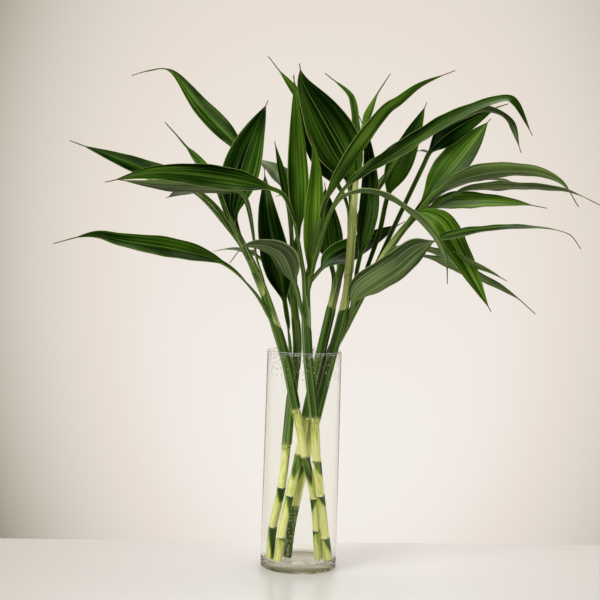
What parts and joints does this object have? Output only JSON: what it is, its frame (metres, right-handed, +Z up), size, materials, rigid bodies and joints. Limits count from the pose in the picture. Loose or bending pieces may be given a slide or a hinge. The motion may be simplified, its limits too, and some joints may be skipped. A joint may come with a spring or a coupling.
{
  "type": "lucky bamboo in a glass vase",
  "caption": "Cut canes of ribbon dracaena with arching strap leaves, standing crossed in a tall clear glass cylinder vase.",
  "frame": {"origin": "centre of the vase's foot, on the surface that it stands on", "axes": "+Z up along the vase's axis, +X to the right in the picture, +Y away from its camera"},
  "size_m": [0.7243, 0.3832, 0.6984],
  "materials": {
    "glass": "clear, smooth, thin wall with a thick foot",
    "cane": "satin plant skin, dark green above each leaf scar fading to pale yellow-green",
    "leaf": "satin leaf, dark green with lighter stripes along it, dull grey-green below"
  },
  "bodies": {
    "root": {"vase": "glass", "cane_1": "cane", "cane_2": "cane", "cane_3": "cane", "cane_4": "cane", "cane_5": "cane", "cane_6": "cane", "shoot_1": "leaf", "shoot_2": "leaf", "shoot_3": "leaf", "shoot_4": "leaf", "shoot_5": "leaf", "shoot_6": "leaf"}
  },
  "joints": []
}
